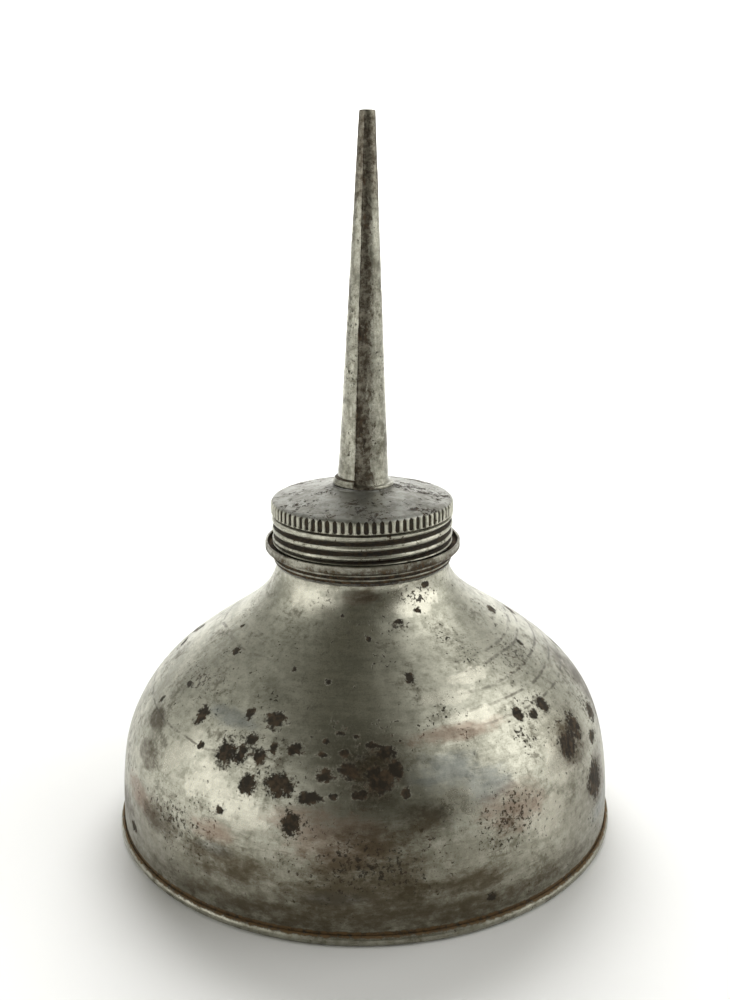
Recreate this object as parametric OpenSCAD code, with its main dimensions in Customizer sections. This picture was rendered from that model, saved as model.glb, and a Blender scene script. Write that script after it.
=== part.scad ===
// Thumb-pump oil can: domed tinplate body with a springy bottom, screw cap with
// a rolled thread, and a long tapered spout. Millimetres, +Z up. The origin is
// the middle of the plane that the rim bead stands on.

/* [Body] */
// Radius of the straight wall just above the rim bead
wall_r = 50.2; // [45:0.1:60]
// Sheet thickness of the body, the bottom and the collar
sheet_t = 0.4; // [0.3:0.05:0.6]
// Outer radius of the rim bead's roll
bead_r = 1.05; // [0.9:0.05:1.3]
// Outer radius of the neck that is drawn up out of the dome
neck_r = 17.4; // [17.2:0.05:17.6]
// Height at which the dome turns from bulging out to curving in
turn_z = 42.35; // [38:0.05:44]
// Radius of the dome at that height
turn_r = 27; // [24:0.1:32]
// Steepest slope of the dome, measured from upright
turn_angle = 57; // [50:1:64]

/* [Bottom] */
// Height of the underside of the bottom's flat edge
bottom_z = 4.4; // [4:0.1:6]
// How far the middle of the bottom bulges below its edge
bottom_bulge = 2.8; // [2:0.1:3]
// Radius of the thumb patch under the middle
patch_r = 9.5; // [7:0.5:10.5]
// Width of the bow spring's strip
bow_w = 12; // [10:1:20]

/* [Collar and neck] */
// Outer radius of the drip lip
lip_r = 19.6; // [19:0.1:22]
// Height of the lip's upper edge
lip_top = 58.2; // [57.8:0.1:59]
// Radius of the bore through the threaded neck
bore_r = 16.3; // [15.5:0.1:16.3]
// Height of the threaded neck's mouth
mouth_z = 64.9; // [64.5:0.1:65]

/* [Thread] */
// Distance between neighbouring thread ridges
pitch = 1.9; // [1.7:0.05:2.2]
// Depth of the rolled thread
thread_d = 0.7; // [0.4:0.05:0.8]
// Gap between the cap's thread and the neck's thread
thread_gap = 0.2; // [0.15:0.05:0.25]

/* [Cap and spout] */
// Height of the edge of the cap's top
cap_top = 66.6; // [66.6:0.1:67.5]
// How far the cap's top rises from its edge to the spout
crown_h = 2.3; // [1:0.1:3]
// Outer radius of the knurled band
knurl_r = 18.15; // [18.1:0.05:18.3]
// Number of knurls around the cap
knurls = 76; // [40:1:90]
// Height of the spout's tip
tip_z = 139.6; // [100:0.1:160]
// Outer radius of the spout where it meets its foot
spout_r = 4.97; // [4.6:0.01:5.1]
// Outer radius of the spout at the tip
tip_r = 1.55; // [1.4:0.05:2]
// Lean of the spout towards +X, in degrees
spout_lean = 1.1; // [0:0.1:1.2]

/* [Hidden] */
$fn = 96;

tin = "#a3a196";
dull_tin = "#8b8b84";
solder = "#8f918c";
spring_steel = "#5f6468";
leather = "#5a3d26";
eps = 0.02;                            // overlap that makes a union sound

// Body shell
shoulder_z = 2.8;                      // the wall is upright below this
shoulder_pull = 22.4;                  // lengths of the two curves' handles
turn_pull_low = 21.3;
turn_pull_high = 4.8;
neck_pull = 4.4;
neck_z = 53.4;                         // the neck is upright above this
neck_top = 56.4;
inner_wall_r = wall_r - sheet_t;
bead_c = [wall_r - 0.2, 1.03];         // centre of the bead's roll
crevice_w = 0.12;                      // gap between the wall and the rolled edge

// Bottom, counted up from the middle's underside
middle_z = bottom_z - bottom_bulge;
disc_r = inner_wall_r - 0.05;
disc_flat_r = 11;                      // flat middle of the disc
disc_edge_r = 46.5;                    // the flat edge starts here
hole_r = 1.6;                          // holes that the rivet passes through
bow_t = 0.5;
bow_flat = 9;
bow_end = 48;
patch_t = 0.5;
rivet_r = 1.5;
rivet_head_t = 0.5;
washer_r = 4.5;
washer_t = 0.6;
bow_bottom = middle_z + sheet_t;
washer_bottom = bow_bottom + bow_t;
solder_leg = 1;
solder_gap = 0.02;                     // the wall leans in by less than this beside it

// Collar and neck
collar_bottom = 54.2;
collar_floor = neck_top + 0.05;
lip_t = 0.6;
sleeve_bottom = 53.6;
sleeve_r = neck_r - sheet_t - 0.05;
thread_bottom = 57.1;
thread_top = mouth_z - 0.3;
thread_start = 0.72;                   // a ridge's crest passes angle 0 at this height
neck_root_r = 16.8;                    // root radius of the neck's thread
cap_groove_r = neck_root_r + thread_d + thread_gap;

// Cap
cap_t = 0.4;
skirt_t = 0.35;
skirt_bottom = 57.9;
band_bottom = 63.8;
band_top = cap_top - 0.7;
band_inner_r = 17.6;
knurl_root_r = knurl_r - 0.3;
crown_slope = 12.3;                    // slope of the cap's top, in degrees
boss_r = 6.15;
boss_h = 0.2;
boss_z = cap_top + crown_h + boss_h;   // the seat of the spout's foot
spud_r = 5.3;                          // upturned collar inside the spout's foot
spud_top = boss_z + 0.7;
gasket_r = [13.5, 17];
gasket_z = [mouth_z + 0.1, cap_top - cap_t - 0.05];

// Spout
spout_shift = 0.23;                    // the foot sits this far off the cap's axis
foot_r = 6.05;
foot_z = boss_z + 0.15;
foot_edge_h = 0.7;                     // the foot is upright to here, then slopes in
foot_h = 1.35;
spout_t = 0.42;
spout_z = foot_z + foot_h + 0.3;       // the plain cone starts here
orifice_r = 0.85;
orifice_l = 3;
lap_t = 0.3;
lap_start = 252;                       // the lap's free edge, just left of the front
lap_angle = 50;

// A point of a cubic curve through p[0] and p[3] with handles p[1] and p[2]
function cubic(p, t) =
    pow(1 - t, 3) * p[0] + 3 * pow(1 - t, 2) * t * p[1]
    + 3 * (1 - t) * t * t * p[2] + pow(t, 3) * p[3];
// The direction of the same curve, as a unit vector
function heading(p, t) =
    let (d = pow(1 - t, 2) * (p[1] - p[0]) + 2 * (1 - t) * t * (p[2] - p[1])
             + t * t * (p[3] - p[2]))
    d / norm(d);
// The curve moved inwards by d, at right angles to itself
function inset(p, t, d) = let (h = heading(p, t)) cubic(p, t) + d * [-h[1], h[0]];
function ring_arc(c, r, a0, a1, n) =
    [for (i = [0:n]) let (a = a0 + (a1 - a0) * i / n) c + r * [cos(a), sin(a)]];
function backwards(list) = [for (i = [len(list) - 1:-1:0]) list[i]];

turn = [turn_r, turn_z];
turn_dir = [-sin(turn_angle), cos(turn_angle)];
shoulder = [[wall_r, shoulder_z], [wall_r, shoulder_z + shoulder_pull],
            turn - turn_pull_low * turn_dir, turn];
hollow = [turn, turn + turn_pull_high * turn_dir,
          [neck_r, neck_z - neck_pull], [neck_r, neck_z]];

// Points up the dome from the wall to the neck, d inside its outer face
function dome_line(d) = concat(
    [for (i = [0:24]) inset(shoulder, i / 24, d)],
    [for (i = [1:12]) inset(hollow, i / 12, d)]);

module revolve() {
    rotate_extrude() children();
}

// A ring from r0 to r1 and from z0 to z1
module ring(r0, r1, z0, z1) {
    revolve() translate([r0, z0]) square([r1 - r0, z1 - z0]);
}

// Body: wall, dome and neck in one sheet, its lower edge rolled outwards
module bead_section() {
    difference() {
        intersection() {
            translate(bead_c) circle(r = bead_r);
            translate([inner_wall_r, 0]) square([3, 3]);
        }
        intersection() {
            translate(bead_c) circle(r = bead_r - sheet_t);
            translate([wall_r, 0]) square([3, 3]);
        }
        translate([wall_r, bead_c[1]]) square([crevice_w, 2]);
    }
}

module body_shell() {
    color(tin) revolve() union() {
        bead_section();
        polygon(concat(
            [[inner_wall_r, bead_c[1]], [wall_r, bead_c[1]]],
            dome_line(0), [[neck_r, neck_top], [neck_r - sheet_t, neck_top]],
            backwards(dome_line(sheet_t))));
    }
}

// Bottom: a diaphragm whose shallow steps let it flex, bulging down at rest
disc_line = [[disc_r, 1], [disc_edge_r, 1], [44.5, 0.75], [37, 0.64], [35, 0.39],
             [25, 0.32], [23, 0.07], [disc_flat_r, 0]];

module bottom_disc() {
    under = [for (p = disc_line) [p[0], middle_z + p[1] * bottom_bulge]];
    color(dull_tin) revolve() polygon(concat(
        [[hole_r, middle_z + sheet_t], [hole_r, middle_z]], backwards(under),
        [for (p = under) p + [0, sheet_t]]));
}

// Solder fillet in the corner between the wall and the bottom's underside
module rim_solder() {
    edge_r = inner_wall_r - solder_gap;
    color(solder) revolve() polygon([
        [edge_r, bottom_z], [edge_r - solder_leg, bottom_z],
        [edge_r, bottom_z - solder_leg]]);
}

// Bow spring: a strip across the inside, held at the middle, ends on the edge
module bow_spring() {
    end_z = bottom_z + sheet_t + 0.05;
    half = [[bow_flat, bow_bottom], [disc_edge_r - 0.5, end_z], [bow_end, end_z]];
    under = concat([for (p = backwards(half)) [-p[0], p[1]]], half);
    color(spring_steel) difference() {
        rotate([90, 0, 0]) linear_extrude(bow_w, center = true)
            polygon(concat(under, [for (p = backwards(under)) p + [0, bow_t]]));
        translate([0, 0, bow_bottom - 1]) cylinder(r = hole_r, h = bow_t + 2);
    }
}

module thumb_patch() {
    color(dull_tin) ring(hole_r, patch_r, middle_z - patch_t, middle_z);
}

module patch_solder() {
    color(solder) revolve() polygon([
        [patch_r, middle_z], [patch_r, middle_z - patch_t],
        [patch_r + 2 * patch_t, middle_z]]);
}

module rivet_washer() {
    color(dull_tin) ring(hole_r, washer_r, washer_bottom, washer_bottom + washer_t);
}

// Rivet: a flat outer head, the shank, and an inner head hammered over the washer
module spring_rivet() {
    low = middle_z - patch_t;
    high = washer_bottom + washer_t;
    color(spring_steel) union() {
        translate([0, 0, low - rivet_head_t]) cylinder(r1 = 2.4, r2 = 3, h = rivet_head_t);
        translate([0, 0, low - eps]) cylinder(r = rivet_r, h = high - low + 2 * eps);
        translate([0, 0, high]) cylinder(r1 = 2.6, r2 = 1.6, h = 0.7);
    }
}

// Drip collar: a beaded skirt around the neck, opening out into a shallow cup
module drip_collar() {
    skirt_r = neck_r + sheet_t;
    lip_c = [lip_r - 0.4, lip_top - 1.2];
    rim_c = [lip_r - lip_t / 2, lip_top - lip_t / 2];
    color(dull_tin) revolve() union() {
        polygon(concat(
            [[neck_r, collar_bottom], [skirt_r, collar_bottom],
             [skirt_r, neck_top - 0.15]],
            ring_arc(lip_c, 0.4, -70, 0, 4),
            ring_arc(rim_c, lip_t / 2, 0, 180, 8),
            [[lip_r - lip_t, collar_floor + 0.8], [lip_r - lip_t - 0.35, collar_floor + 0.5],
             [sleeve_r + 0.1, collar_floor + 0.5], [sleeve_r + 0.1, collar_floor],
             [neck_r, collar_floor]]));
        for (z = [0.7, 1.6])
            translate([skirt_r - 0.1, collar_bottom + z]) circle(r = 0.28);
    }
}

module collar_solder() {
    color(solder) revolve() polygon([
        [neck_r, collar_bottom], [neck_r, collar_bottom - 0.6],
        [neck_r + sheet_t, collar_bottom]]);
}

// Helical ripple of a right-hand thread: 1 on a ridge, 0 in a groove
function ridge(a, z) = (1 + cos(360 * (z - thread_start) / pitch - a)) / 2;
// Rises from 0 to 1 inside [z0, z1] over the length run at each end
function ease(z, z0, z1, run) = max(0, min(1, (z - z0) / run, (z1 - z) / run));

// Closed skin through rows of points: rows[j][i] is step i of row j, counted
// anticlockwise, and the last row joins the first when the rows form a tube wall
module skin(rows, tube) {
    n = len(rows[0]);
    m = len(rows);
    points = [for (row = rows) for (p = row) p];
    sides = [for (j = [0:(tube ? m - 1 : m - 2)]) for (i = [0:n - 1])
             let (a = j * n + i, b = j * n + (i + 1) % n,
                  c = ((j + 1) % m) * n + (i + 1) % n, d = ((j + 1) % m) * n + i)
             each [[a, c, b], [a, d, c]]];
    caps = tube ? [] : [[for (i = [0:n - 1]) i],
                        [for (i = [n - 1:-1:0]) (m - 1) * n + i]];
    polyhedron(points, concat(sides, caps), convexity = 8);
}

thread_steps = 45;                     // steps around each turn
thread_rows = 7;                       // rows of points to each pitch
function circle_row(z, radius) =
    [for (i = [0:thread_steps - 1])
     let (a = i * 360 / thread_steps, r = radius(a, z)) [r * cos(a), r * sin(a), z]];
function row_heights(z0, z1) =
    let (n = ceil((z1 - z0) / pitch * thread_rows)) [for (i = [0:n]) z0 + (z1 - z0) * i / n];

// Neck: a plain sleeve inside the dome's neck, then the thread and a plain mouth
module threaded_neck() {
    radius = function (a, z)
        neck_root_r + thread_d * ridge(a, z) * ease(z, thread_bottom, thread_top, 0.9);
    color(tin) difference() {
        union() {
            translate([0, 0, sleeve_bottom])
                cylinder(r = sleeve_r, h = thread_bottom - sleeve_bottom);
            skin([for (z = row_heights(thread_bottom, thread_top)) circle_row(z, radius)],
                 false);
            translate([0, 0, thread_top])
                cylinder(r = neck_root_r - 0.08, h = mouth_z - thread_top);
        }
        translate([0, 0, sleeve_bottom - 1])
            cylinder(r = bore_r, h = mouth_z - sleeve_bottom + 2);
    }
}

module neck_solder() {
    color(solder) revolve() polygon([
        [bore_r + 0.1, sleeve_bottom], [sleeve_r, sleeve_bottom],
        [sleeve_r + 0.05, sleeve_bottom - 0.6]]);
}

module cap_gasket() {
    color(leather) ring(gasket_r[0], gasket_r[1], gasket_z[0], gasket_z[1]);
}

// Cap: drawn from one sheet, with a raised crown that the spout stands on, a
// knurled band, and a skirt into which the thread is rolled
module cap_crown() {
    edge_r = cap_top - band_top;
    revolve() polygon(concat(
        [[knurl_root_r, band_top]],
        ring_arc([knurl_root_r - edge_r, band_top], edge_r, 0, 90 - crown_slope, 6),
        [[boss_r + 0.3, boss_z - boss_h], [boss_r, boss_z],
         [spud_r, boss_z], [spud_r, spud_top],
         [spud_r - cap_t, spud_top], [spud_r - cap_t, boss_z - cap_t],
         [boss_r, boss_z - cap_t],
         [band_inner_r - 0.4, cap_top - cap_t], [band_inner_r, band_top - eps],
         [knurl_root_r, band_top - eps]]));
}

module knurled_band() {
    half = 180 / knurls;
    outline = [for (k = [0:knurls - 1]) for (s = [[-0.8, 0], [-0.5, 1], [0.5, 1], [0.8, 0]])
               let (a = 2 * half * k + s[0] * half,
                    r = knurl_root_r + s[1] * (knurl_r - knurl_root_r))
               [r * cos(a), r * sin(a)]];
    translate([0, 0, band_bottom]) linear_extrude(band_top - band_bottom) difference() {
        polygon(outline);
        circle(r = band_inner_r);
    }
}

module threaded_skirt() {
    top = band_bottom + 0.2;
    fade = function (z) ease(z, skirt_bottom, band_bottom - 0.3, 0.6);
    hollow_r = function (z) z > band_bottom - 0.3 ? band_inner_r + 0.06 : cap_groove_r;
    inner = function (a, z) hollow_r(z) - thread_d * (1 - ridge(a, z)) * fade(z);
    outer = function (a, z)
        z > band_bottom - 0.3 ? knurl_root_r - 0.05 : inner(a, z) + skirt_t;
    heights = concat(row_heights(skirt_bottom, band_bottom - 0.3), [band_bottom, top]);
    skin(concat([for (z = heights) circle_row(z, outer)],
                [for (z = backwards(heights)) circle_row(z, inner)]), true);
}

module cap_shell() {
    color(tin) union() {
        cap_crown();
        knurled_band();
        threaded_skirt();
    }
}

// Moves what is drawn upright on the Z axis to the spout's leaning axis
module on_spout_axis() {
    translate([spout_shift, 0, foot_z]) rotate([0, spout_lean, 0])
        translate([0, 0, -foot_z]) children();
}

// Spout: a rolled cone with a lapped seam and a wider foot
module spout_tube() {
    tip_top = tip_z - 0.4;
    orifice_z = tip_z - orifice_l;
    taper = (spout_r - tip_r) / (tip_top - spout_z);
    inner_top = spout_r - spout_t - taper * (orifice_z - 1 - spout_z);
    color(tin) on_spout_axis() difference() {
        union() {
            revolve() polygon(concat(
                [[0, foot_z], [foot_r, foot_z], [foot_r, foot_z + foot_edge_h]],
                [[spout_r + 0.25, foot_z + foot_h], [spout_r, spout_z],
                 [tip_r, tip_top]],
                ring_arc([tip_r - 0.4, tip_top], 0.4, 15, 90, 4), [[0, tip_z]]));
            rotate_extrude(angle = lap_angle, start = lap_start - lap_angle) polygon([
                [spout_r - 0.1, spout_z], [spout_r + lap_t, spout_z],
                [tip_r + lap_t / 2, tip_top - 1], [tip_r - 0.1, tip_top - 1]]);
        }
        revolve() polygon([
            [0, foot_z - 1], [foot_r - spout_t, foot_z - 1],
            [foot_r - spout_t, foot_z + foot_edge_h - 0.1], [spout_r - spout_t, spout_z],
            [inner_top, orifice_z - 1], [0, orifice_z - 1]]);
        revolve() polygon([
            [0, orifice_z - 1 - eps], [inner_top, orifice_z - 1 - eps],
            [inner_top, orifice_z - 1], [orifice_r, orifice_z], [0, orifice_z]]);
        translate([0, 0, orifice_z - eps]) cylinder(r = orifice_r, h = orifice_l + 1);
    }
}

// Solder bed between the cap's boss and the leaning foot, thicker on one side
module spout_solder() {
    color(solder) difference() {
        ring(spud_r, boss_r - 0.25, boss_z, foot_z + 0.5);
        on_spout_axis() translate([-20, -20, foot_z]) cube([40, 40, 10]);
    }
}

body_shell();
bottom_disc();
rim_solder();
bow_spring();
thumb_patch();
patch_solder();
spring_rivet();
rivet_washer();
drip_collar();
collar_solder();
threaded_neck();
neck_solder();
cap_gasket();
cap_shell();
spout_tube();
spout_solder();
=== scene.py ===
"""Looks of the thumb-pump oil can: worn, rusty tin plate on every sheet, and the fine
shapes that the CAD model keeps plain. Lengths are millimetres until a mesh is made."""
import random
from math import cos, pi, radians, sin

import bpy
import numpy as np
from mathutils import Matrix, Vector, noise


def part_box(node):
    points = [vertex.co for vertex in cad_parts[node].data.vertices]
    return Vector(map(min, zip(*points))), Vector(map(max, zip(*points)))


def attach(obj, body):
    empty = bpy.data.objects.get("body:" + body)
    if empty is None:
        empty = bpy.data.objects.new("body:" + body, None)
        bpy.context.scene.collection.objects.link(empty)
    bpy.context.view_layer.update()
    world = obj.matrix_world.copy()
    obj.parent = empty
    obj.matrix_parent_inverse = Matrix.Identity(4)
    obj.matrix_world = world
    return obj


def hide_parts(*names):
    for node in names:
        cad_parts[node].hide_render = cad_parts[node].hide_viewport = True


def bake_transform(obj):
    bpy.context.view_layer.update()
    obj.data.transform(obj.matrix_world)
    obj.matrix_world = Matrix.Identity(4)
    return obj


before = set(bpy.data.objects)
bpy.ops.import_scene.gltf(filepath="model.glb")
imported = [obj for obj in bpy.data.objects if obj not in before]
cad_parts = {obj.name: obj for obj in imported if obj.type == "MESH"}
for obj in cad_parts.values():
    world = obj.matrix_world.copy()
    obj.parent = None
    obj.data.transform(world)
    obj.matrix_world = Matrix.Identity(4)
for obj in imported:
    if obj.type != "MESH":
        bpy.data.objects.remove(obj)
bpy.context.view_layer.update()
MM = 0.001

# ---------------------------------------------------------------- dimensions


def node_box(node):
    """Lowest and highest corner of a CAD node, in millimetres."""
    low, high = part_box(node)
    return low / MM, high / MM


SHELL = node_box("body_shell")
COLLAR = node_box("drip_collar")
NECK = node_box("threaded_neck")
CAP = node_box("cap_shell")
DISC = node_box("bottom_disc")
BOW = node_box("bow_spring")

SHEET = 0.4                               # sheet thickness
BEAD_R = 1.05                             # rim bead: radius of its roll
BEAD = np.array([SHELL[1].x - BEAD_R, 1.03])   # and its centre
WALL_R = BEAD[0] + 0.2
NECK_R = 17.4                             # outside of the dome's neck
NECK_Z = 53.4                             # where the dome meets its neck
TURN = np.array([27.0, 42.35])            # where the dome turns from bulging to hollow
TURN_ANGLE = radians(57)

PITCH = 1.9
THREAD_D = 0.7                            # depth of the thread
THREAD_START = 0.72                       # height of the ridge's crest at angle 0
GROOVE_R = 17.7                           # root of the thread inside the cap
NECK_ROOT = 16.8                          # root of the thread on the neck
NECK_BORE = 16.3
NECK_THREAD_Z = 57.1                      # where the neck's thread starts

KNURLS = 76
KNURL_R = CAP[1].x
KNURL_D = 0.34                            # depth of the slots between knurls
BAND_Z = 63.8                             # lower edge of the knurled band
CAP_TOP = 66.6                            # edge of the cap's top
CROWN_SLOPE = 12.3                        # degrees
BOSS_R = 6.15                             # the raised boss in the crown's middle
BOSS_Z = 69.1
SPUD_R = 5.3                              # the short tube inside the spout's foot

FOOT_Z = 69.25                            # underside of the spout's foot
FOOT_R = 6.05
SPOUT_R = 4.97                            # the cone's wide end, above the foot
SPOUT_Z = 70.9
TIP_R = 1.55
TIP_Z = 139.6
LEAN = radians(1.1)                       # of the spout, towards +X
SPOUT_X = 0.23                            # how far its foot stands off the axis
SEAM = radians(252)                       # the lap's free edge, left of the front
ORIFICE_R = 0.85

# ---------------------------------------------------------------- curves


def cubic(p, t):
    """Points of the cubic curve through p[0] and p[3] with handles p[1] and p[2]."""
    t = np.asarray(t)[:, None]
    return ((1 - t) ** 3 * p[0] + 3 * (1 - t) ** 2 * t * p[1]
            + 3 * (1 - t) * t * t * p[2] + t ** 3 * p[3])


def arc(centre, radius, start, end, steps):
    """Points of an arc, its angles in degrees."""
    a = np.radians(np.linspace(start, end, steps))
    return np.array(centre) + radius * np.stack([np.cos(a), np.sin(a)], 1)


def straight(a, b, steps):
    """Points from a towards b, without b."""
    t = np.linspace(0, 1, steps, endpoint=False)[:, None]
    return (1 - t) * np.array(a, float) + t * np.array(b, float)


def inset(points, depth):
    """A line moved to its left by depth."""
    d = np.gradient(points, axis=0)
    d /= np.linalg.norm(d, axis=1)[:, None]
    return points + depth * np.stack([-d[:, 1], d[:, 0]], 1)


def smooth(x, low, high):
    """0 below low, 1 above high, and an S curve between."""
    t = np.clip((x - low) / (high - low), 0, 1)
    return t * t * (3 - 2 * t)


def bump(x, low, high, edge):
    """1 between low and high, falling to 0 over edge at both ends."""
    return smooth(x, low - edge, low) * (1 - smooth(x, high, high + edge))


def angles(steps):
    """That many angles round the circle, in radians."""
    return np.linspace(0, 2 * pi, steps, endpoint=False)


def ridge(a, z):
    """The thread's right-hand helix: 1 on a ridge's crest, 0 in its groove."""
    return (1 + np.cos(2 * pi * (z - THREAD_START) / PITCH - a)) / 2


def noise_at(points, size, seed=0.0):
    """Smooth noise in -1..1 at points in millimetres; size is that of its bumps."""
    return np.array([noise.noise(Vector((p[0] / size + seed, p[1] / size, p[2] / size)))
                     for p in points])


# ---------------------------------------------------------------- meshes


def link(name, mesh):
    """Puts a mesh into the scene."""
    piece = bpy.data.objects.new(name, mesh)
    bpy.context.scene.collection.objects.link(piece)
    return piece


SHARP = radians(38)                       # edges steeper than this stay crisp


def lathe(name, grid, closed=True):
    """A mesh through grid[row][step], each row a ring of points in millimetres. The
    rows run anticlockwise round the section; closed joins the last row to the first."""
    rows, steps = grid.shape[:2]
    i, j = np.meshgrid(np.arange(rows if closed else rows - 1), np.arange(steps),
                       indexing="ij")
    up, on = (i + 1) % rows, (j + 1) % steps
    quads = np.stack([i * steps + j, i * steps + on, up * steps + on, up * steps + j], -1)
    mesh = bpy.data.meshes.new(name)
    mesh.from_pydata((grid.reshape(-1, 3) * MM).tolist(), [],
                     quads.reshape(-1, 4).tolist())
    mesh.shade_smooth()
    mesh.set_sharp_from_angle(angle=SHARP)
    return link(name, mesh)


def turned(section, steps, warp=None):
    """The grid of a section (r, z) turned round the axis. warp(r, a, z) may move it."""
    a = np.broadcast_to(angles(steps), (len(section), steps))
    r = np.repeat(section[:, :1], steps, 1)
    z = np.repeat(section[:, 1:], steps, 1)
    if warp:
        r, z = warp(r, a, z)
    return np.stack([r * np.cos(a), r * np.sin(a), z], -1)


def set_value(piece, name, values):
    """Stores one number per point, for the piece's material to read."""
    attribute = piece.data.attributes.new(name, "FLOAT", "POINT")
    attribute.data.foreach_set("value", np.asarray(values, np.float32).ravel())


# ---------------------------------------------------------------- shaders


class Shader:
    """A material, with short calls for the nodes that this object needs. Its
    patterns are in millimetres of the piece's own space."""

    def __init__(self, name):
        self.material = bpy.data.materials.new(name)
        self.material.use_nodes = True
        self.tree = self.material.node_tree
        self.surface = self.tree.nodes["Principled BSDF"]
        place = self.tree.nodes.new("ShaderNodeTexCoord").outputs["Object"]
        self.place = self.vector("SCALE", place, scale=1 / MM)

    def wire(self, socket, value):
        """Links a socket to an input, or sets the input to a number or vector."""
        if isinstance(value, bpy.types.NodeSocket):
            self.tree.links.new(value, socket)
        elif value is not None:
            socket.default_value = value

    def vector(self, operation, a, b=None, scale=None):
        node = self.tree.nodes.new("ShaderNodeVectorMath")
        node.operation = operation
        self.wire(node.inputs[0], a)
        self.wire(node.inputs[1], b)
        if scale is not None:
            self.wire(node.inputs["Scale"], scale)
        return node.outputs["Value" if operation in ("LENGTH", "DOT_PRODUCT") else "Vector"]

    def math(self, operation, a, b=None):
        node = self.tree.nodes.new("ShaderNodeMath")
        node.operation = operation
        self.wire(node.inputs[0], a)
        self.wire(node.inputs[1], b)
        return node.outputs[0]

    def add(self, *values):
        total = values[0]
        for value in values[1:]:
            total = self.math("ADD", total, value)
        return total

    def times(self, *values):
        total = values[0]
        for value in values[1:]:
            total = self.math("MULTIPLY", total, value)
        return total

    def most(self, *values):
        total = values[0]
        for value in values[1:]:
            total = self.math("MAXIMUM", total, value)
        return total

    def step(self, value, low, high, to_low=0.0, to_high=1.0):
        """value eased from to_low at low to to_high at high."""
        node = self.tree.nodes.new("ShaderNodeMapRange")
        node.interpolation_type = "SMOOTHSTEP"
        for socket, number in zip(node.inputs, (value, low, high, to_low, to_high)):
            self.wire(socket, number)
        return node.outputs[0]

    def noise(self, size, detail=3.0, stretch=(1, 1, 1), rough=0.55, shift=0.0, at=None):
        """Noise in 0..1 whose bumps are size millimetres, longer along stretch."""
        scale = tuple(1 / (size * s) for s in stretch)
        place = self.vector("MULTIPLY", at or self.place, scale)
        if shift:
            place = self.vector("ADD", place, (shift, shift * 1.7, -shift))
        node = self.tree.nodes.new("ShaderNodeTexNoise")
        self.wire(node.inputs["Vector"], place)
        self.wire(node.inputs["Scale"], 1.0)
        self.wire(node.inputs["Detail"], detail)
        self.wire(node.inputs["Roughness"], rough)
        return node.outputs[0]

    def value(self, name):
        """A number stored on the piece by set_value."""
        node = self.tree.nodes.new("ShaderNodeAttribute")
        node.attribute_name = name
        return node.outputs["Fac"]

    def parts(self):
        """The x, y and z of the place, and its distance from the can's axis."""
        node = self.tree.nodes.new("ShaderNodeSeparateXYZ")
        self.wire(node.inputs[0], self.place)
        flat = self.vector("MULTIPLY", self.place, (1, 1, 0))
        return (*node.outputs, self.vector("LENGTH", flat))

    def rings(self, size):
        """Noise in 0..1 that runs in rings round the axis, as on spun sheet."""
        _, _, z, r = self.parts()
        node = self.tree.nodes.new("ShaderNodeCombineXYZ")
        self.wire(node.inputs[0], r)
        self.wire(node.inputs[1], z)
        return self.noise(size, detail=2, at=node.outputs[0])

    def mix(self, share, a, b):
        node = self.tree.nodes.new("ShaderNodeMix")
        node.data_type = "RGBA"
        self.wire(node.inputs["Factor"], share)
        for socket, colour in ((node.inputs[6], a), (node.inputs[7], b)):
            self.wire(socket, (*colour, 1) if isinstance(colour, tuple) else colour)
        return node.outputs[2]

    def finish(self, colour, rough, metal, height):
        """height is in millimetres."""
        self.wire(self.surface.inputs["Base Color"], colour)
        self.wire(self.surface.inputs["Roughness"], rough)
        self.wire(self.surface.inputs["Metallic"], metal)
        self.wire(self.surface.inputs["Specular IOR Level"], 0.2)
        node = self.tree.nodes.new("ShaderNodeBump")
        self.wire(node.inputs["Strength"], 1.0)
        self.wire(node.inputs["Distance"], MM)
        self.wire(node.inputs["Height"], height)
        self.wire(self.surface.inputs["Normal"], node.outputs[0])
        return self.material


BRIGHT_TIN = (0.52, 0.51, 0.425)
DULL_TIN = (0.31, 0.305, 0.245)
# Dark grime; where the body's grime film lays it thick on the lower and middle front, it is painted
# dark reflection
GRIME_AND_PAINTED_REFLECTION = (0.105, 0.092, 0.062)
# Dark brown patina; along the lower front it is also painted dark reflection
BROWN = (0.070, 0.053, 0.030)
PINK = (0.26, 0.175, 0.13)
BLUE = (0.20, 0.22, 0.22)
DARK_RUST = (0.020, 0.015, 0.009)
RUST = (0.065, 0.043, 0.024)
ORANGE_RUST = (0.125, 0.075, 0.030)


def rust_colour(s):
    """Dark brown rust, redder in places."""
    return s.mix(s.step(s.noise(1.2, detail=4), 0.42, 0.68), DARK_RUST, RUST)


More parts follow.
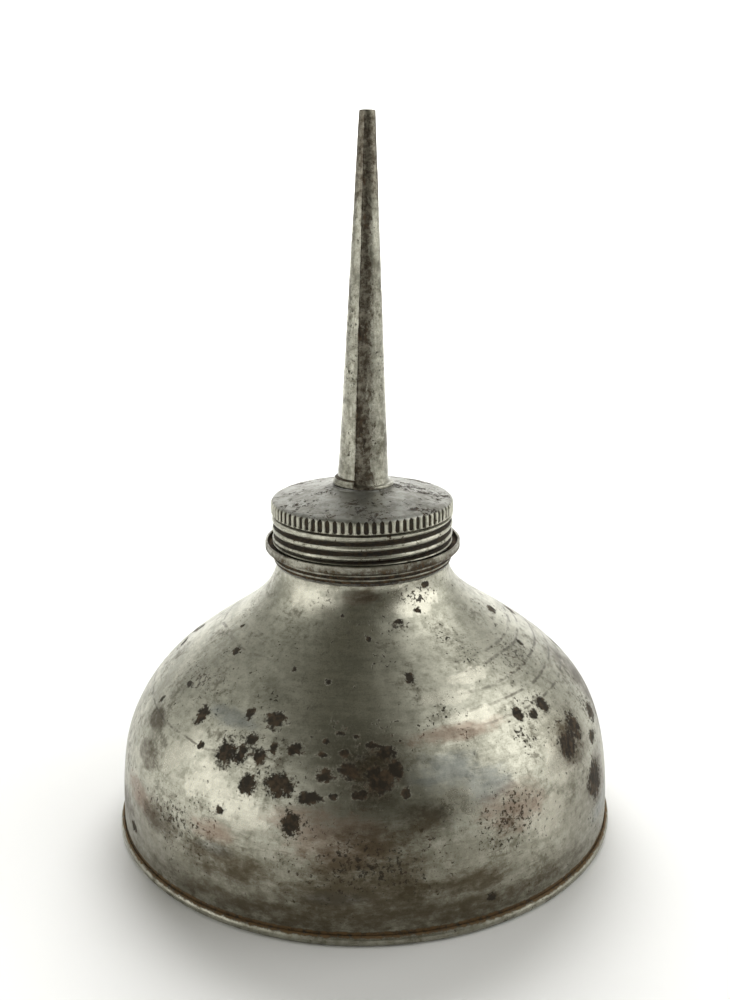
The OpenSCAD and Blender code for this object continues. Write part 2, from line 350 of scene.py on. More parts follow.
def worn_tin(s, bright=BRIGHT_TIN, dull=DULL_TIN, pits=0.5, scuff=0.5, dents=0.2):
    """Tin plate gone grey: its colour, its roughness and its height."""
    smudge = s.noise(9, detail=7, rough=0.68)
    scuffs = s.noise(0.8, detail=6, stretch=(9, 9, 1), rough=0.72)
    mottle = s.noise(1.5, detail=7, rough=0.76)
    grain = s.noise(0.25, detail=2)
    grey = s.add(smudge, s.times(scuffs, scuff), mottle)
    middle = 1.0 + 0.5 * scuff
    colour = s.mix(s.step(grey, middle - 0.22, middle + 0.22), bright, dull)
    # Grime: fine dark mottling in patches, with dark wisps along the rings
    zone = s.noise(7, detail=4, shift=1.0)
    grimy = s.step(s.add(mottle, s.times(zone, 0.9)), 1.0, 1.22)
    wisps = s.noise(0.55, detail=5, stretch=(8, 8, 0.8), rough=0.7, shift=9.0)
    wisp = s.times(s.step(s.add(wisps, s.times(zone, 0.5)), 0.84, 0.98), scuff)
    grimy = s.most(s.times(grimy, 0.6), s.times(wisp, 0.7))
    colour = s.mix(grimy, colour, GRIME_AND_PAINTED_REFLECTION)
    colour = s.mix(s.times(s.step(grain, 0.48, 0.75), 0.35), colour, (0.13, 0.12, 0.095))
    # Pits: small dark dots, in loose groups
    dots = s.noise(0.7, detail=3, rough=0.6, shift=7.0)
    dense = s.step(s.noise(8, detail=3, shift=3.0), 0.35, 0.75, 0.75, 0.75 - 0.17 * pits)
    pit = s.step(s.math("SUBTRACT", dots, dense), -0.02, 0.03)
    colour = s.mix(s.times(pit, 0.9), colour, (0.04, 0.033, 0.024))
    rough = s.add(0.16, s.times(smudge, 0.18), s.times(mottle, 0.22), s.times(grimy, 0.18),
                  s.times(pit, 0.3))
    height = s.add(s.times(s.rings(0.16), 0.0022), s.times(scuffs, 0.006),
                   s.times(mottle, 0.018), s.times(grain, 0.004), s.times(pit, -0.02),
                   s.times(s.noise(5.5, detail=1, shift=5.0), dents))
    return colour, rough, height


def add_rust(s, tin, rust, colour=None):
    """Lays rust over tin where the mask rust is 1."""
    base, rough, height = tin
    crust = s.noise(0.35, detail=4, rough=0.7)
    colour = s.mix(rust, base, colour or rust_colour(s))
    rough = s.add(s.times(rough, s.math("SUBTRACT", 1.0, rust)), s.times(rust, 0.75))
    metal = s.math("SUBTRACT", 1.0, s.times(rust, 0.92))
    height = s.add(height, s.times(rust, s.times(crust, 0.035)))
    return s.finish(colour, rough, metal, height)


LEFT_SCRATCHES = (28.7, 41.2)             # heights of the lines that run round the dome
RIGHT_SCRATCHES = (33.1, 35.2, 37.4, 39.8, 41.0)


def ring_scratch(s, height, wander, side):
    """A thin dark line round the dome at that height, fading out away from side."""
    x, _, z, _ = s.parts()
    wave = s.times(s.math("SUBTRACT", s.noise(9, detail=3, shift=height), 0.5), wander)
    off = s.math("ABSOLUTE", s.add(z, wave, -height))
    line = s.step(off, 0.26, 0.05)
    broken = s.step(s.noise(2.5, detail=3, shift=height), 0.38, 0.55)
    return s.times(line, broken, s.step(s.times(x, side), 12, 30))


def body_material():
    s = Shader("worn_tin_body")
    colour, rough, height = worn_tin(s, pits=0.95, scuff=0.7)
    mottle = s.noise(2.4, detail=7, rough=0.72, stretch=(1.6, 1.6, 0.8), shift=2.0)
    # Bright spots where the tin is still smooth
    spots = s.noise(3.0, detail=3, rough=0.6, shift=14.0)
    shiny = s.step(s.add(s.value("bright"), spots), 0.88, 1.08)
    colour = s.mix(s.times(shiny, 0.6), colour, (0.57, 0.55, 0.46))
    rough = s.math("SUBTRACT", rough, s.times(shiny, 0.10))
    # Patina: brown, pink and blue tints where the tin has worn thin. The grime film and the brown
    # tint also darken the lower and middle front as painted dark reflection
    grime_and_reflection_film = s.times(s.value("grime_and_painted_reflection"), 1.1, s.add(0.45, s.times(mottle, 0.9)))
    colour = s.mix(s.times(s.math("MINIMUM", grime_and_reflection_film, 1.0), 0.9), colour, GRIME_AND_PAINTED_REFLECTION)
    for name, tint, weight in (("blue", BLUE, 0.6), ("pink", PINK, 0.6), ("brown", BROWN, 0.85)):
        share = s.step(s.add(s.value(name), mottle), 0.78, 1.22)
        colour = s.mix(s.times(share, weight), colour, tint)
        rough = s.add(rough, s.times(share, 0.07))
    left = [ring_scratch(s, z, 1.2, -1) for z in LEFT_SCRATCHES]
    right = [ring_scratch(s, z, 0.9, 1) for z in RIGHT_SCRATCHES]
    lines = s.most(*left, *right)
    colour = s.mix(s.times(lines, 0.7), colour, (0.07, 0.06, 0.045))
    # Rust: the placed blotches, clouds of specks, and the crevices
    fine = s.noise(1.1, detail=7, rough=0.78, shift=5.0)
    edge = s.math("SUBTRACT", fine, 0.5)
    blotch = s.step(s.add(s.value("blotch"), s.times(edge, 3.6)), 1.22, 0.85)
    specks = s.noise(0.8, detail=5, rough=0.7, shift=11.0)
    cloud = s.step(s.add(specks, s.times(s.value("speckle"), 0.14)), 0.63, 0.68)
    crevice = s.step(s.add(s.value("crevice"), s.times(edge, 1.3)), 0.50, 0.85)
    rust = s.most(s.times(blotch, 0.97), s.times(cloud, 0.85), s.times(crevice, 0.95))
    shade = s.mix(s.times(crevice, s.step(fine, 0.35, 0.55)), rust_colour(s), ORANGE_RUST)
    return add_rust(s, (colour, rough, height), rust, shade)


def cap_material(name, pits):
    """Tin with rust in its grooves. The value low is 1 in a groove, 0 on a ridge, and
    top is 1 on the crown, which is duller and pitted."""
    s = Shader(name)
    top = s.value("top")
    colour, rough, height = worn_tin(s, bright=(0.55, 0.54, 0.45), dull=(0.36, 0.355, 0.29),
                                     pits=pits, scuff=0.15, dents=0.1)
    fine = s.noise(0.8, detail=6, rough=0.72)
    broad = s.noise(6, detail=4, shift=4.0)
    haze = s.mix(s.step(s.noise(2.2, detail=7, rough=0.75), 0.38, 0.62), (0.40, 0.40, 0.375),
                 (0.25, 0.245, 0.215))
    colour = s.mix(s.times(top, 0.9), colour, haze)
    rough = s.add(rough, s.times(top, 0.12))
    groove = s.step(s.add(s.value("low"), s.times(fine, 0.5), s.times(broad, 0.5)), 0.85, 1.25)
    specks = s.noise(1.5, detail=7, rough=0.8, shift=2.0)
    patchy = s.step(s.add(specks, s.times(broad, 0.6)), 0.86, 0.90)
    spots = s.most(s.step(s.add(fine, s.times(broad, 0.35)), 0.77, 0.83), s.times(top, patchy))
    shade = s.mix(s.step(fine, 0.4, 0.65), (0.009, 0.006, 0.004), (0.042, 0.025, 0.010))
    return add_rust(s, (colour, rough, height), s.times(s.most(groove, spots), 0.95), shade)


def spout_material():
    s = Shader("worn_tin_spout")
    _, _, z, _ = s.parts()
    base, rough, height = worn_tin(s, bright=(0.50, 0.49, 0.41), dull=(0.17, 0.165, 0.13),
                                   pits=1.0, scuff=0.1, dents=0.12)
    drawn = s.noise(0.5, detail=5, rough=0.7, stretch=(1, 1, 9), shift=13.0)
    base = s.mix(s.times(s.step(drawn, 0.5, 0.68), 0.5), base, (0.12, 0.11, 0.08))
    rough = s.math("SUBTRACT", rough, 0.06)
    # Bare steel, brown and mottled: right of the seam, and all round near the tip
    jag = s.noise(0.9, detail=7, rough=0.8, stretch=(1, 1, 2.2))
    patch = s.noise(3.2, detail=6, rough=0.72, stretch=(1, 1, 1.7), shift=8.0)
    streak = s.step(s.add(s.value("seam"), s.times(jag, 1.5), s.times(patch, 0.9)), 1.72, 1.84)
    tip = s.step(s.add(z, s.times(jag, 16)), TIP_Z - 11, TIP_Z - 6)
    bare = s.most(streak, tip)
    steel = s.mix(s.step(s.noise(1.1, detail=7, rough=0.78, shift=4.0), 0.40, 0.62),
                  (0.060, 0.045, 0.030), (0.27, 0.25, 0.20))
    base = s.mix(s.times(bare, 0.92), base, steel)
    rough = s.add(rough, s.times(bare, 0.10))
    height = s.add(height, s.times(bare, -0.03), s.times(jag, 0.05))
    rust = s.step(s.add(s.times(s.value("seam"), 0.30), patch), 0.78, 0.84)
    foot = s.step(s.add(s.value("low"), s.times(jag, 0.6)), 0.9, 1.2)
    shade = s.mix(s.step(jag, 0.4, 0.7), DARK_RUST, (0.12, 0.075, 0.04))
    return add_rust(s, (base, rough, height), s.times(s.most(rust, foot), 0.85), shade)


def collar_material():
    s = Shader("worn_tin_collar")
    tin = worn_tin(s, bright=(0.38, 0.37, 0.31), dull=(0.16, 0.15, 0.115), pits=1.0, scuff=0.2)
    fine = s.noise(0.9, detail=6, rough=0.75)
    broad = s.noise(6, detail=4, shift=6.0)
    rust = s.step(s.add(s.value("low"), s.times(fine, 0.8), s.times(broad, 0.7)), 1.02, 1.3)
    shade = s.mix(s.step(fine, 0.4, 0.65), (0.012, 0.009, 0.005), (0.085, 0.050, 0.022))
    return add_rust(s, tin, s.times(rust, 0.95), shade)


def plain_tin(name, bright, dull, rusting=0.5):
    s = Shader(name)
    tin = worn_tin(s, bright=bright, dull=dull, pits=0.6, scuff=0.3)
    fine = s.noise(1.2, detail=5, rough=0.7)
    broad = s.noise(11, detail=3, shift=6.0)
    rust = s.step(s.add(s.times(fine, 0.6), broad), 1.05 - 0.3 * rusting, 1.2 - 0.3 * rusting)
    return add_rust(s, tin, s.times(rust, 0.9))


def leather_material():
    s = Shader("oiled_leather")
    grain = s.noise(0.5, detail=5, rough=0.65)
    oil = s.noise(4, detail=3)
    colour = s.mix(s.step(s.add(grain, oil), 0.8, 1.25), (0.03, 0.017, 0.01), (0.10, 0.055, 0.028))
    rough = s.add(0.38, s.times(grain, 0.3))
    return s.finish(colour, rough, 0.0, s.times(grain, 0.06))


# ---------------------------------------------------------------- the body

SHOULDER = np.array([(WALL_R, 2.8), (WALL_R, 25.2),
                     TURN + 21.3 * np.array([sin(TURN_ANGLE), -cos(TURN_ANGLE)]), TURN])
HOLLOW = np.array([TURN, TURN + 4.8 * np.array([-sin(TURN_ANGLE), cos(TURN_ANGLE)]),
                   (NECK_R, NECK_Z - 4.4), (NECK_R, NECK_Z)])


def dome_line(steps):
    """The dome's outer face from the wall to the neck."""
    low = cubic(SHOULDER, np.linspace(0, 1, steps, endpoint=False))
    high = cubic(HOLLOW, np.linspace(0, 1, steps // 3))
    return np.vstack([low, high])


# Rust blotches on the front: degrees right of the front, millimetres of sheet below
# the neck, width and height
BLOTCHES = [
    (-48, 32, 2.6, 4.6), (-33, 28.5, 1.8, 2.4), (-24.5, 28.5, 4, 3.2), (-29, 33, 2.6, 2.6),
    (-22.5, 33.5, 1.4, 2.2), (-17, 33, 3, 2.2), (-34.5, 36.5, 4.2, 4.6), (-30.5, 36, 2.2, 3.4),
    (-25.5, 35.5, 2.2, 2.8), (-19, 39.5, 5.4, 3.8), (-26.5, 40.5, 3.4, 3.4), (-9, 37, 3.2, 2.6),
    (-15.5, 45.5, 3, 3.8), (-12, 41, 4.4, 2.2), (-43, 37, 1.6, 1.4), (3.5, 37.5, 5, 4.2),
    (-3.5, 36, 3.4, 3.2), (5, 33, 3.4, 2.4), (-1, 40, 3.0, 1.6), (-5, 33, 2.0, 1.4), (7, 36, 2.4, 4),
    (-7, 40.5, 1.8, 1.2), (2, 31.5, 2.2, 1.2), (-10, 33.5, 2.4, 1), (-6, 29.5, 1.8, 1),
    (-2, 30, 1.2, 1), (9, 40, 1.6, 2.2), (-9.5, 31, 1.2, 1.2),
    (54.5, 32, 3, 3.8), (49, 32.5, 2.2, 2), (44, 31, 2.2, 2.4), (55, 41, 5.6, 5), (61, 39, 4.4, 5),
    (64, 51.5, 7.4, 6.8), (68, 44, 4, 2.4), (75, 41, 4.4, 3.4), (16, 19, 1.7, 2.6),
    (-56, 18.5, 2, 1.8), (-68, 14, 1.2, 1.2), (19, 7, 1.7, 1.1), (2.5, 10, 0.9, 1.2),
    (32, 5.5, 1.3, 1), (-11.5, 5.5, 0.8, 0.8), (43, 1, 2, 1.2), (85, 13.5, 3, 2),
    (26, 61, 2, 1.4), (-63, 60, 3, 2), (-32, 46, 2, 1.4), (-62, 29, 2.4, 1.1),
    (-26, 18, 1, 1.2), (-12, 19.5, 1.2, 1.4), (-69, 35, 1.4, 1.6), (72, 21, 1.6, 1.6)]
# Clouds of specks, given the same way
CLOUDS = [
    (1, 36, 17, 14), (42, 35.5, 7, 9), (57, 40, 20, 16), (50, 31, 16, 7), (-7, 28.5, 7, 5),
    (18, 8, 6, 4), (74, 40, 14, 16), (-14, 46, 12, 9), (0, 52, 40, 16), (32, 48, 24, 16),
    (-27, 35, 22, 14), (60, 22, 20, 14), (36, 2.5, 18, 6), (-60, 27, 18, 10), (2, 34, 15, 9),
    (-45, 51, 22, 12)]
HIDDEN_CLOUDS = [(180, 36, 90, 16), (140, 46, 40, 16), (215, 30, 40, 14)]
# Patina and painted dark reflection, given the same way: the grime and brown lists also darken the
# lower and middle front as painted dark reflection
PATINA_AND_PAINTED_REFLECTION = {
    "grime_and_painted_reflection": [(0, 59, 90, 20), (0, 56, 60, 14), (14, 53, 30, 10), (-20, 55, 26, 9),
              (-50, 59, 50, 15), (50, 61, 60, 12), (2, 47, 20, 14), (0, 34, 14, 10),
              (57, 40, 16, 14), (58, 53, 30, 15), (90, 50, 20, 40), (180, 58, 90, 22),
              (-85, 58, 20, 14)],
    # The brown list is partly painted dark reflection along the lower front band
    "brown": [(0, 53, 26, 16), (0, 57.5, 46, 9), (2, 48, 22, 8), (-30, 55, 24, 9),
              (-50, 53, 16, 7), (-60, 44, 12, 6),
              (-64, 38, 10, 5), (2, 37, 13, 12), (57, 41, 14, 12), (66, 52, 14, 12),
              (0, 62, 120, 7), (22, 57, 20, 6), (85, 40, 14, 30),
              (-72, 58, 20, 7), (12, 45, 12, 8), (0, 1.5, 8, 4), (180, 52, 90, 18)],
    "pink": [(-5, 48, 22, 12), (24, 31, 26, 4), (-12, 45, 18, 6), (33, 46, 18, 10),
             (-34, 50, 14, 5), (-2, 2, 8, 3), (-60, 52, 18, 6), (150, 40, 40, 12)],
    "blue": [(18, 37, 16, 8), (28, 41, 12, 8), (-38, 30, 14, 5), (-32, 53, 10, 3),
             (-6, 58, 14, 3), (70, 58, 20, 6), (200, 44, 30, 12)],
    "bright": [(-38, 42, 14, 9), (-29, 45, 12, 9), (-46, 37, 9, 7), (-22, 46, 9, 6),
               (-50, 41, 8, 8), (50, 43, 13, 11), (32, 29, 16, 5), (26, 24, 16, 4),
               (38, 21, 14, 4), (42, 50, 15, 9), (30, 3, 16, 9), (-32, 3, 16, 8), (20, 43, 12, 7)]}


FAR = 4.0                                 # distances to a blotch are counted up to this


def hidden_side(seed, count):
    """Blotches for the side that faces away, in the same band as on the front."""
    pick = random.Random(seed)
    return [(pick.uniform(95, 265), pick.gauss(36, 8),
             pick.uniform(1.2, 5), pick.uniform(1.2, 4.4)) for _ in range(count)]


def nearest(places, azimuth, depth, r):
    """Distance to the nearest of places, 1 on its edge."""
    best = np.full(azimuth.shape, FAR)
    for place, down, width, height in places:
        across = np.abs((azimuth - place + 180) % 360 - 180) * np.pi / 180 * r
        best = np.minimum(best, np.hypot(across / (width / 2), (depth - down) / (height / 2)))
    return best


def body_warp(r, a, z):
    """Dents: the right shoulder stands proud, the left is pressed in, and the sheet
    and its bead wander a little. Nothing grows past the bead's own radius."""
    lean = bump(z, 30, 40, 14) * np.cos(a)
    points = np.stack([r * np.cos(a), r * np.sin(a), z], -1).reshape(-1, 3)
    waves = (noise_at(points, 22) * 0.22 + noise_at(points, 9, 5.0) * 0.06).reshape(r.shape)
    free = bump(z, 4, 50, 3)
    bead = 1 - smooth(z, 2.0, 3.2)
    wobble = (1 + noise_at(points * (1, 1, 0), 9, 9.0).reshape(r.shape)) / 2
    r = r + 0.6 * lean + waves * free - bead * 0.16 * wobble
    z = z + bead * 0.14 * (1 - wobble) * smooth(z, 0, 2.5)
    return r, z


BODY_STEPS = 540


def body_section():
    """The body's section, rim to neck outside and back inside. Also how many of its
    points are outside, and which one is where the dome meets the neck."""
    bead = np.vstack([
        straight((WALL_R - SHEET, 0.12), (WALL_R - 0.3, 0), 2),
        straight((WALL_R - 0.3, 0), (WALL_R, 0.0), 2),
        arc(BEAD, BEAD_R, -78, 62, 26),
        arc((BEAD[0] + 0.40, BEAD[1] + 0.77), 0.14, 62, 180, 7),
        [(WALL_R + 0.07, BEAD[1] + 0.5), (WALL_R, BEAD[1] + 0.45), (WALL_R, BEAD[1] + 0.9)]])
    dome = dome_line(150)
    wall = straight((WALL_R, 2.1), dome[0], 4)
    neck_top = SHELL[1].z
    outer = np.vstack([bead, wall, dome, [(NECK_R, NECK_Z + 1), (NECK_R, neck_top)]])
    inner = np.vstack([straight((WALL_R - SHEET, BEAD[1]), (WALL_R - SHEET, 2.7), 3),
                       inset(dome_line(60), SHEET), [(NECK_R - SHEET, neck_top)]])[::-1]
    return np.vstack([outer, inner]), len(outer), len(bead) + len(wall) + len(dome) - 1


def mark_body(piece, section, outer_rows, neck_row):
    """How far each point is from blotches, clouds, patina with its painted dark reflection, and
    crevices.
    """
    lengths = np.linalg.norm(np.diff(section, axis=0), axis=1)
    along = np.concatenate([[0], np.cumsum(lengths)])
    depth = np.repeat(np.abs(along[neck_row] - along)[:, None], BODY_STEPS, 1)
    azimuth = np.repeat((np.degrees(angles(BODY_STEPS)) + 90)[None], len(section), 0)
    r = np.repeat(section[:, :1], BODY_STEPS, 1)
    z = np.repeat(section[:, 1:], BODY_STEPS, 1)
    outside = (np.arange(len(section)) < outer_rows)[:, None]
    blotches = nearest(BLOTCHES + hidden_side(3, 46), azimuth, depth, r)
    set_value(piece, "blotch", np.where(outside, blotches, FAR))
    clouds = nearest(CLOUDS + HIDDEN_CLOUDS, azimuth, depth, r)
    set_value(piece, "speckle", 1 - np.clip(clouds, 0, 1.4))
    for name, places in PATINA_AND_PAINTED_REFLECTION.items():
        near = nearest(places, azimuth, depth, r)
        set_value(piece, name, 0.62 * (1 - smooth(near, 0.3, 1.7)))
    groove = np.exp(-((z - 2.15) / 0.75) ** 2) * (r > WALL_R - 0.3) * outside
    low = 0.45 * np.exp(-((z - 1.0) / 1.1) ** 2) * outside
    olive = 0.36 * np.exp(-((z - 3.2) / 2.6) ** 2) * outside
    under_collar = 0.9 * np.exp(-((z - NECK_Z - 0.5) / 0.7) ** 2) * outside
    set_value(piece, "crevice", np.maximum.reduce([groove, low, olive, under_collar]))


def make_body():
    section, outer_rows, neck_row = body_section()
    piece = lathe("body_shell_worn", turned(section, BODY_STEPS, body_warp))
    mark_body(piece, section, outer_rows, neck_row)
    piece.data.materials.append(body_material())
    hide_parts("body_shell")
    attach(piece, "can")


# ---------------------------------------------------------------- collar and neck


def make_collar():
    steps = 360
    low, high = COLLAR[0].z, COLLAR[1].z
    lip_r = COLLAR[1].x
    skirt = NECK_R + SHEET
    section = np.vstack([
        [(NECK_R + 0.02, low), (skirt - 0.08, low), (skirt, low + 0.1)],
        arc((skirt - 0.06, low + 0.7), 0.27, -75, 75, 9),
        arc((skirt - 0.06, low + 1.6), 0.27, -75, 75, 9),
        [(skirt, low + 2.0)],
        straight((skirt + 0.25, low + 2.12), (lip_r - 0.5, high - 1.62), 5),
        arc((lip_r - 0.42, high - 1.22), 0.42, -70, 0, 6),
        arc((lip_r - 0.27, high - 0.27), 0.27, 0, 165, 9),
        arc((lip_r - 1.05, high - 0.7), 0.5, -5, -90, 7),
        straight((lip_r - 1.3, high - 1.2), (NECK_R - 0.3, high - 1.25), 4),
        [(NECK_R - 0.3, high - 1.72), (NECK_R + 0.02, high - 1.75)]])

    def warp(r, a, z):
        points = np.stack([20 * np.cos(a), 20 * np.sin(a), z], -1).reshape(-1, 3)
        wave = noise_at(points, 6).reshape(r.shape)
        out = smooth(r, skirt, lip_r)
        return r - out * 0.09 * (1 + wave), z - out * 0.07 * (1 + wave)

    piece = lathe("drip_collar_worn", turned(section, steps, warp))
    r, z = section[:, 0], section[:, 1]
    beads = np.cos(2 * pi * (z - low - 0.7) / 0.9) * bump(z, low + 0.3, low + 1.9, 0.2)
    cup = (r < lip_r - 0.5) * (z > high - 1.4)
    skirt_low = np.where(r < skirt + 0.3, 0.62 - 0.4 * beads,
                         0.44 - 0.16 * smooth(z, high - 1.2, high - 0.5))
    set_value(piece, "low", np.repeat(np.where(cup, 0.95, skirt_low), steps))
    piece.data.materials.append(collar_material())
    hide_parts("drip_collar")
    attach(piece, "can")


def make_neck():
    low, high = NECK[0].z, NECK[1].z
    sleeve_r = NECK_R - 0.45
    rows = np.linspace(NECK_THREAD_Z, high - 0.3, 90)
    section = np.vstack([
        [(NECK_BORE, low), (sleeve_r, low)],
        straight((sleeve_r, low), (sleeve_r, NECK_THREAD_Z - 0.1), 4),
        np.stack([np.full(len(rows), NECK_ROOT), rows], 1),
        arc((NECK_ROOT - 0.28, high - 0.2), 0.2, 0, 180, 7)[:4],
        [(NECK_BORE + 0.04, high - 0.03)],
        straight((NECK_BORE, high - 0.1), (NECK_BORE, low), 12)])

    def warp(r, a, z):
        on = (r > NECK_ROOT - 0.01) & (z > NECK_THREAD_Z - 0.05) & (z < high - 0.25)
        lift = THREAD_D * ridge(a, z) * bump(z, NECK_THREAD_Z + 0.9, high - 1.2, 0.9)
        return r + np.where(on, lift, 0), z

    grid = turned(section, 300, warp)
    piece = lathe("threaded_neck_worn", grid)
    rise = np.linalg.norm(grid[:, :, :2], axis=2) - NECK_ROOT
    set_value(piece, "low", np.clip(0.75 - rise / THREAD_D, 0, 1))
    piece.data.materials.append(cap_material("worn_tin_neck", 0.6))
    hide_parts("threaded_neck")
    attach(piece, "can")


# ---------------------------------------------------------------- cap


def knurl_cut(a, z):
    """1 at the bottom of a slot between two knurls. The slots end in an arch above."""
    turn = a * KNURLS / (2 * pi)
    uneven = np.sin(np.floor(turn) * 7.3) + np.sin(np.floor(turn) * 3.1 + 2)
    place = np.abs(turn % 1 - 0.5 + 0.02 * uneven)
    ends = ((1 - smooth(z, CAP_TOP - 0.65, CAP_TOP - 0.15))
            * smooth(z, BAND_Z + 0.05, BAND_Z + 0.3))
    half = (0.31 + 0.02 * uneven) * ends
    return smooth(half - place, -0.05, 0.09) * (half > 0.01) * (0.9 + 0.05 * uneven)


CAP_STEPS = KNURLS * 16
CREST_R = GROOVE_R + 0.35                 # outside of the cap's rolled thread


def cap_section():
    """The cap's section, and masks of its rows: thread, band, crown and inside."""
    low = CAP[0].z
    crown_end = (BOSS_R + 0.35, BOSS_Z - 0.2)
    thread = np.stack([np.full(62, CREST_R), np.linspace(low + 0.05, BAND_Z - 0.5, 62)], 1)
    band = np.vstack([
        arc((CREST_R - 0.42, BAND_Z - 0.3), 0.1, -60, 60, 4),
        [(CREST_R - 0.2, BAND_Z - 0.08), (KNURL_R - 0.1, BAND_Z), (KNURL_R, BAND_Z + 0.1)],
        straight((KNURL_R, BAND_Z + 0.2), (KNURL_R, CAP_TOP - 1.0), 10),
        arc((KNURL_R - 1.0, CAP_TOP - 1.0), 1.0, 0, 90 - CROWN_SLOPE, 14)])
    crown = np.vstack([
        straight(band[-1] * (0.995, 1.001), crown_end, 16),
        [crown_end, (BOSS_R + 0.2, BOSS_Z - 0.17)],
        arc((BOSS_R - 0.06, BOSS_Z - 0.13), 0.13, -20, 90, 5),
        [(SPUD_R + 0.1, BOSS_Z), (SPUD_R, BOSS_Z + 0.05), (SPUD_R, BOSS_Z + 0.7),
         (SPUD_R - SHEET, BOSS_Z + 0.7), (SPUD_R - SHEET, BOSS_Z - SHEET)],
        straight((BOSS_R, BOSS_Z - SHEET), (17.2, CAP_TOP - SHEET), 5),
        [(17.4, CAP_TOP - 0.6), (17.6, CAP_TOP - 0.9), (17.6, BAND_Z + 0.1)]])
    inside = np.stack([np.full(40, GROOVE_R), np.linspace(BAND_Z - 0.3, low + 0.03, 40)], 1)
    edge = [(GROOVE_R + 0.02, low), (GROOVE_R + 0.3, low)]
    section = np.vstack([edge, thread, band, crown, inside])
    ends = np.cumsum([len(part) for part in (edge, thread, band, crown, inside)])
    row = np.arange(len(section))[:, None]
    return section, [(row >= start) & (row < end) for start, end in zip(ends, ends[1:])]


def mark_cap(piece, grid, thread, band, crown):
    """Where the cap's rust lies, and where its top is."""
    r = np.linalg.norm(grid[:, :, :2], axis=2)
    z = grid[:, :, 2]
    a = np.broadcast_to(angles(CAP_STEPS), r.shape)
    groove = thread * np.clip((CREST_R - r) / 0.4, 0, 1)
    under_band = np.exp(-((z - BAND_Z + 0.25) / 0.2) ** 2) * band
    slot = 0.95 * knurl_cut(a, z) * band
    boss = 0.5 * np.exp(-((r - BOSS_R - 0.5) / 0.8) ** 2) * (z > BOSS_Z - 1.1)
    turn = np.degrees(a) % 360
    stain = 0.75 * np.exp(-((turn - 308) / 8) ** 2 - ((r - 15.4) / 1.1) ** 2) * crown
    set_value(piece, "low", np.maximum.reduce([groove, under_band, slot, boss, stain]))
    set_value(piece, "top", (band + crown) * smooth(z, CAP_TOP - 0.6, CAP_TOP - 0.25))


def make_cap():
    section, (thread, band, crown, inside) = cap_section()
    low = CAP[0].z
    thread_top = BAND_Z - 0.9

    def warp(r, a, z):
        turn = ridge(a, z)
        points = np.stack([18 * np.cos(a), 18 * np.sin(a), z], -1).reshape(-1, 3)
        wear = 1 + noise_at(points, 5).reshape(r.shape)
        r = r - thread * THREAD_D * (1 - turn ** 0.55) * bump(z, low + 0.5, thread_top, 0.55)
        r = r - band * KNURL_D * knurl_cut(a, z)
        r = r - inside * THREAD_D * (1 - turn) * bump(z, low + 0.6, thread_top, 0.6)
        top = crown * smooth(z, CAP_TOP - 0.02, CAP_TOP + 0.2) * (r > BOSS_R + 0.2)
        return r - 0.03 * wear * (r > 15), z - top * 0.06 * wear

    grid = turned(section, CAP_STEPS, warp)
    piece = lathe("cap_shell_worn", grid)
    mark_cap(piece, grid, thread, band, crown)
    piece.data.materials.append(cap_material("worn_tin_cap", 0.35))
    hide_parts("cap_shell")
    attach(piece, "cap")


# ---------------------------------------------------------------- spout


def on_spout_axis(grid):
    """Leans points from the can's axis to the spout's."""
    turn = Matrix.Rotation(LEAN, 3, "Y")
    foot = np.array([0, 0, FOOT_Z])
    return (grid - foot) @ np.array(turn).T + foot + (SPOUT_X, 0, 0)


def spout_section():
    """The spout's section, up the outside and down the bore. Also the first row of the
    foot's side, the first of the cone, and the last outside."""
    top = TIP_Z - 0.35
    below = np.vstack([[(FOOT_R - 0.4, FOOT_Z)],
                       arc((FOOT_R - 0.12, FOOT_Z + 0.12), 0.12, -90, -10, 4)])
    rise = np.linspace(0.12, SPOUT_Z - FOOT_Z - 0.02, 26)
    outer = np.vstack([
        below,
        np.stack([np.full(len(rise), FOOT_R), FOOT_Z + rise], 1),
        straight((SPOUT_R, SPOUT_Z), (TIP_R, top), 260),
        arc((TIP_R - 0.3, top), 0.3, 10, 90, 6)])
    inner = np.vstack([
        [(ORIFICE_R, TIP_Z - 0.1), (ORIFICE_R, TIP_Z - 3), (ORIFICE_R + 0.3, TIP_Z - 4)],
        straight((ORIFICE_R + 0.4, TIP_Z - 5), (SPOUT_R - 0.42, SPOUT_Z), 20),
        [(SPOUT_R - 0.42, SPOUT_Z), (4.75, FOOT_Z + 1.0), (5.1, FOOT_Z + 0.75),
         (5.4, FOOT_Z + 0.55), (FOOT_R - 0.42, FOOT_Z + 0.4)]])
    return (np.vstack([outer, inner]), len(below), len(below) + len(rise), len(outer) - 3)


def lap_and_dents(r, a, z, left):
    """How far the sheet stands out: its free edge lies proud, sinking to the left."""
    lap = np.exp(-left / 0.55) * (left < pi)
    thick = 0.26 - 0.14 * smooth(z, SPOUT_Z, TIP_Z)
    points = np.stack([r * np.cos(a), r * np.sin(a), z], -1).reshape(-1, 3)
    dents = noise_at(points, 5).reshape(r.shape) * 0.05 * bump(z, SPOUT_Z, TIP_Z - 2, 2)
    return lap * thick * bump(z, SPOUT_Z, TIP_Z - 1.0, 0.6) + dents


def foot_radius(z, sleeve):
    """The foot: a flange all round, and a sleeve with a ledge left of the seam."""
    flange = np.interp(z - FOOT_Z, [0.45, 0.60, 0.72, 0.95, 1.65],
                       [FOOT_R, FOOT_R - 0.12, 5.45, 5.18, SPOUT_R + 0.04])
    ledge = np.interp(z - FOOT_Z, [0.70, 0.82, 1.35, 1.45, 1.53, 1.65],
                      [FOOT_R, FOOT_R - 0.12, 5.62, 5.50, 5.12, SPOUT_R + 0.06])
    return flange + sleeve * (ledge - flange)


